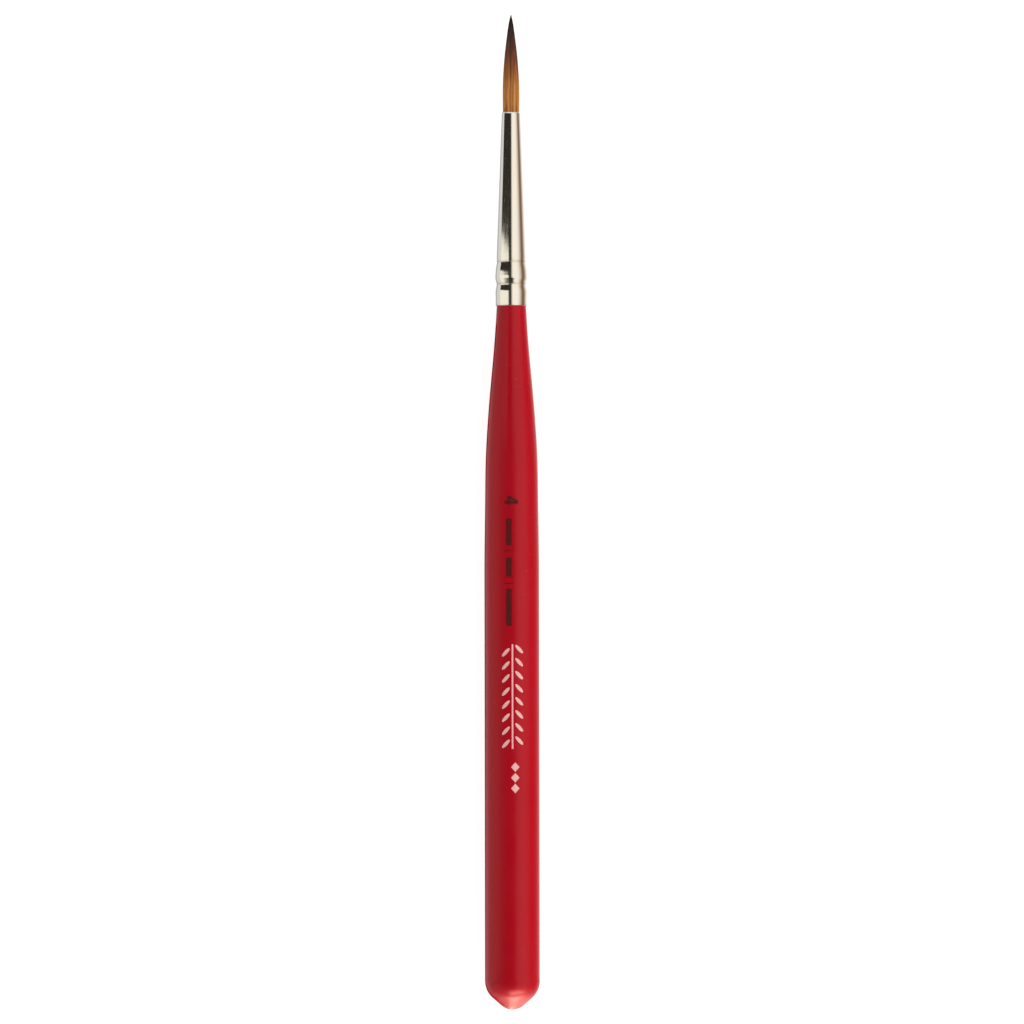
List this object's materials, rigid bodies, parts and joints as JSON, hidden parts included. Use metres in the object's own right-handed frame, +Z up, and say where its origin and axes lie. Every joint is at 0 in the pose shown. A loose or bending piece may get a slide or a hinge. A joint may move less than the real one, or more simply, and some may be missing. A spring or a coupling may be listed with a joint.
{
  "type": "fine detail brush",
  "caption": "Short-handled round brush: lacquered wooden handle, conical metal ferrule with rolled crimps, and a pointed tuft of synthetic hair that flexes and springs back.",
  "frame": {"origin": "on the surface that the brush lies on, under the middle of its length", "axes": "+X along the brush towards the tip of the tuft, +Z up"},
  "size_m": [0.178, 0.0098, 0.0098],
  "materials": {
    "wood": "turned and sanded birch",
    "red_lacquer": "dipped satin gloss lacquer",
    "nickel_plate": "bright nickel plate on drawn brass",
    "adhesive": "dried film",
    "resin": "cast clear amber",
    "thread": "waxed polyester thread",
    "hair": "satin tapered filaments, dark at the tip",
    "black_ink": "pad printed",
    "white_ink": "pad printed, slightly thin over red"
  },
  "bodies": {
    "brush": {"handle_wood": "wood", "handle_lacquer": "red_lacquer", "ferrule": "nickel_plate", "tenon_adhesive": "adhesive", "root_epoxy": "resin", "tuft_binding_thread": "thread", "tuft_root": "hair", "size_print": "black_ink", "type_print": "black_ink", "ornament_print": "white_ink"},
    "tuft": {"filament_tuft": "hair"}
  },
  "joints": [
    {"name": "tuft_flex", "type": "hinge", "parent": "brush", "child": "tuft", "pos_m": [0.074, 0, 0.0049], "axis": [0, 0, 1], "range_deg": [-40, 40], "stiffness_Nm_per_rad": 0.0015}
  ]
}
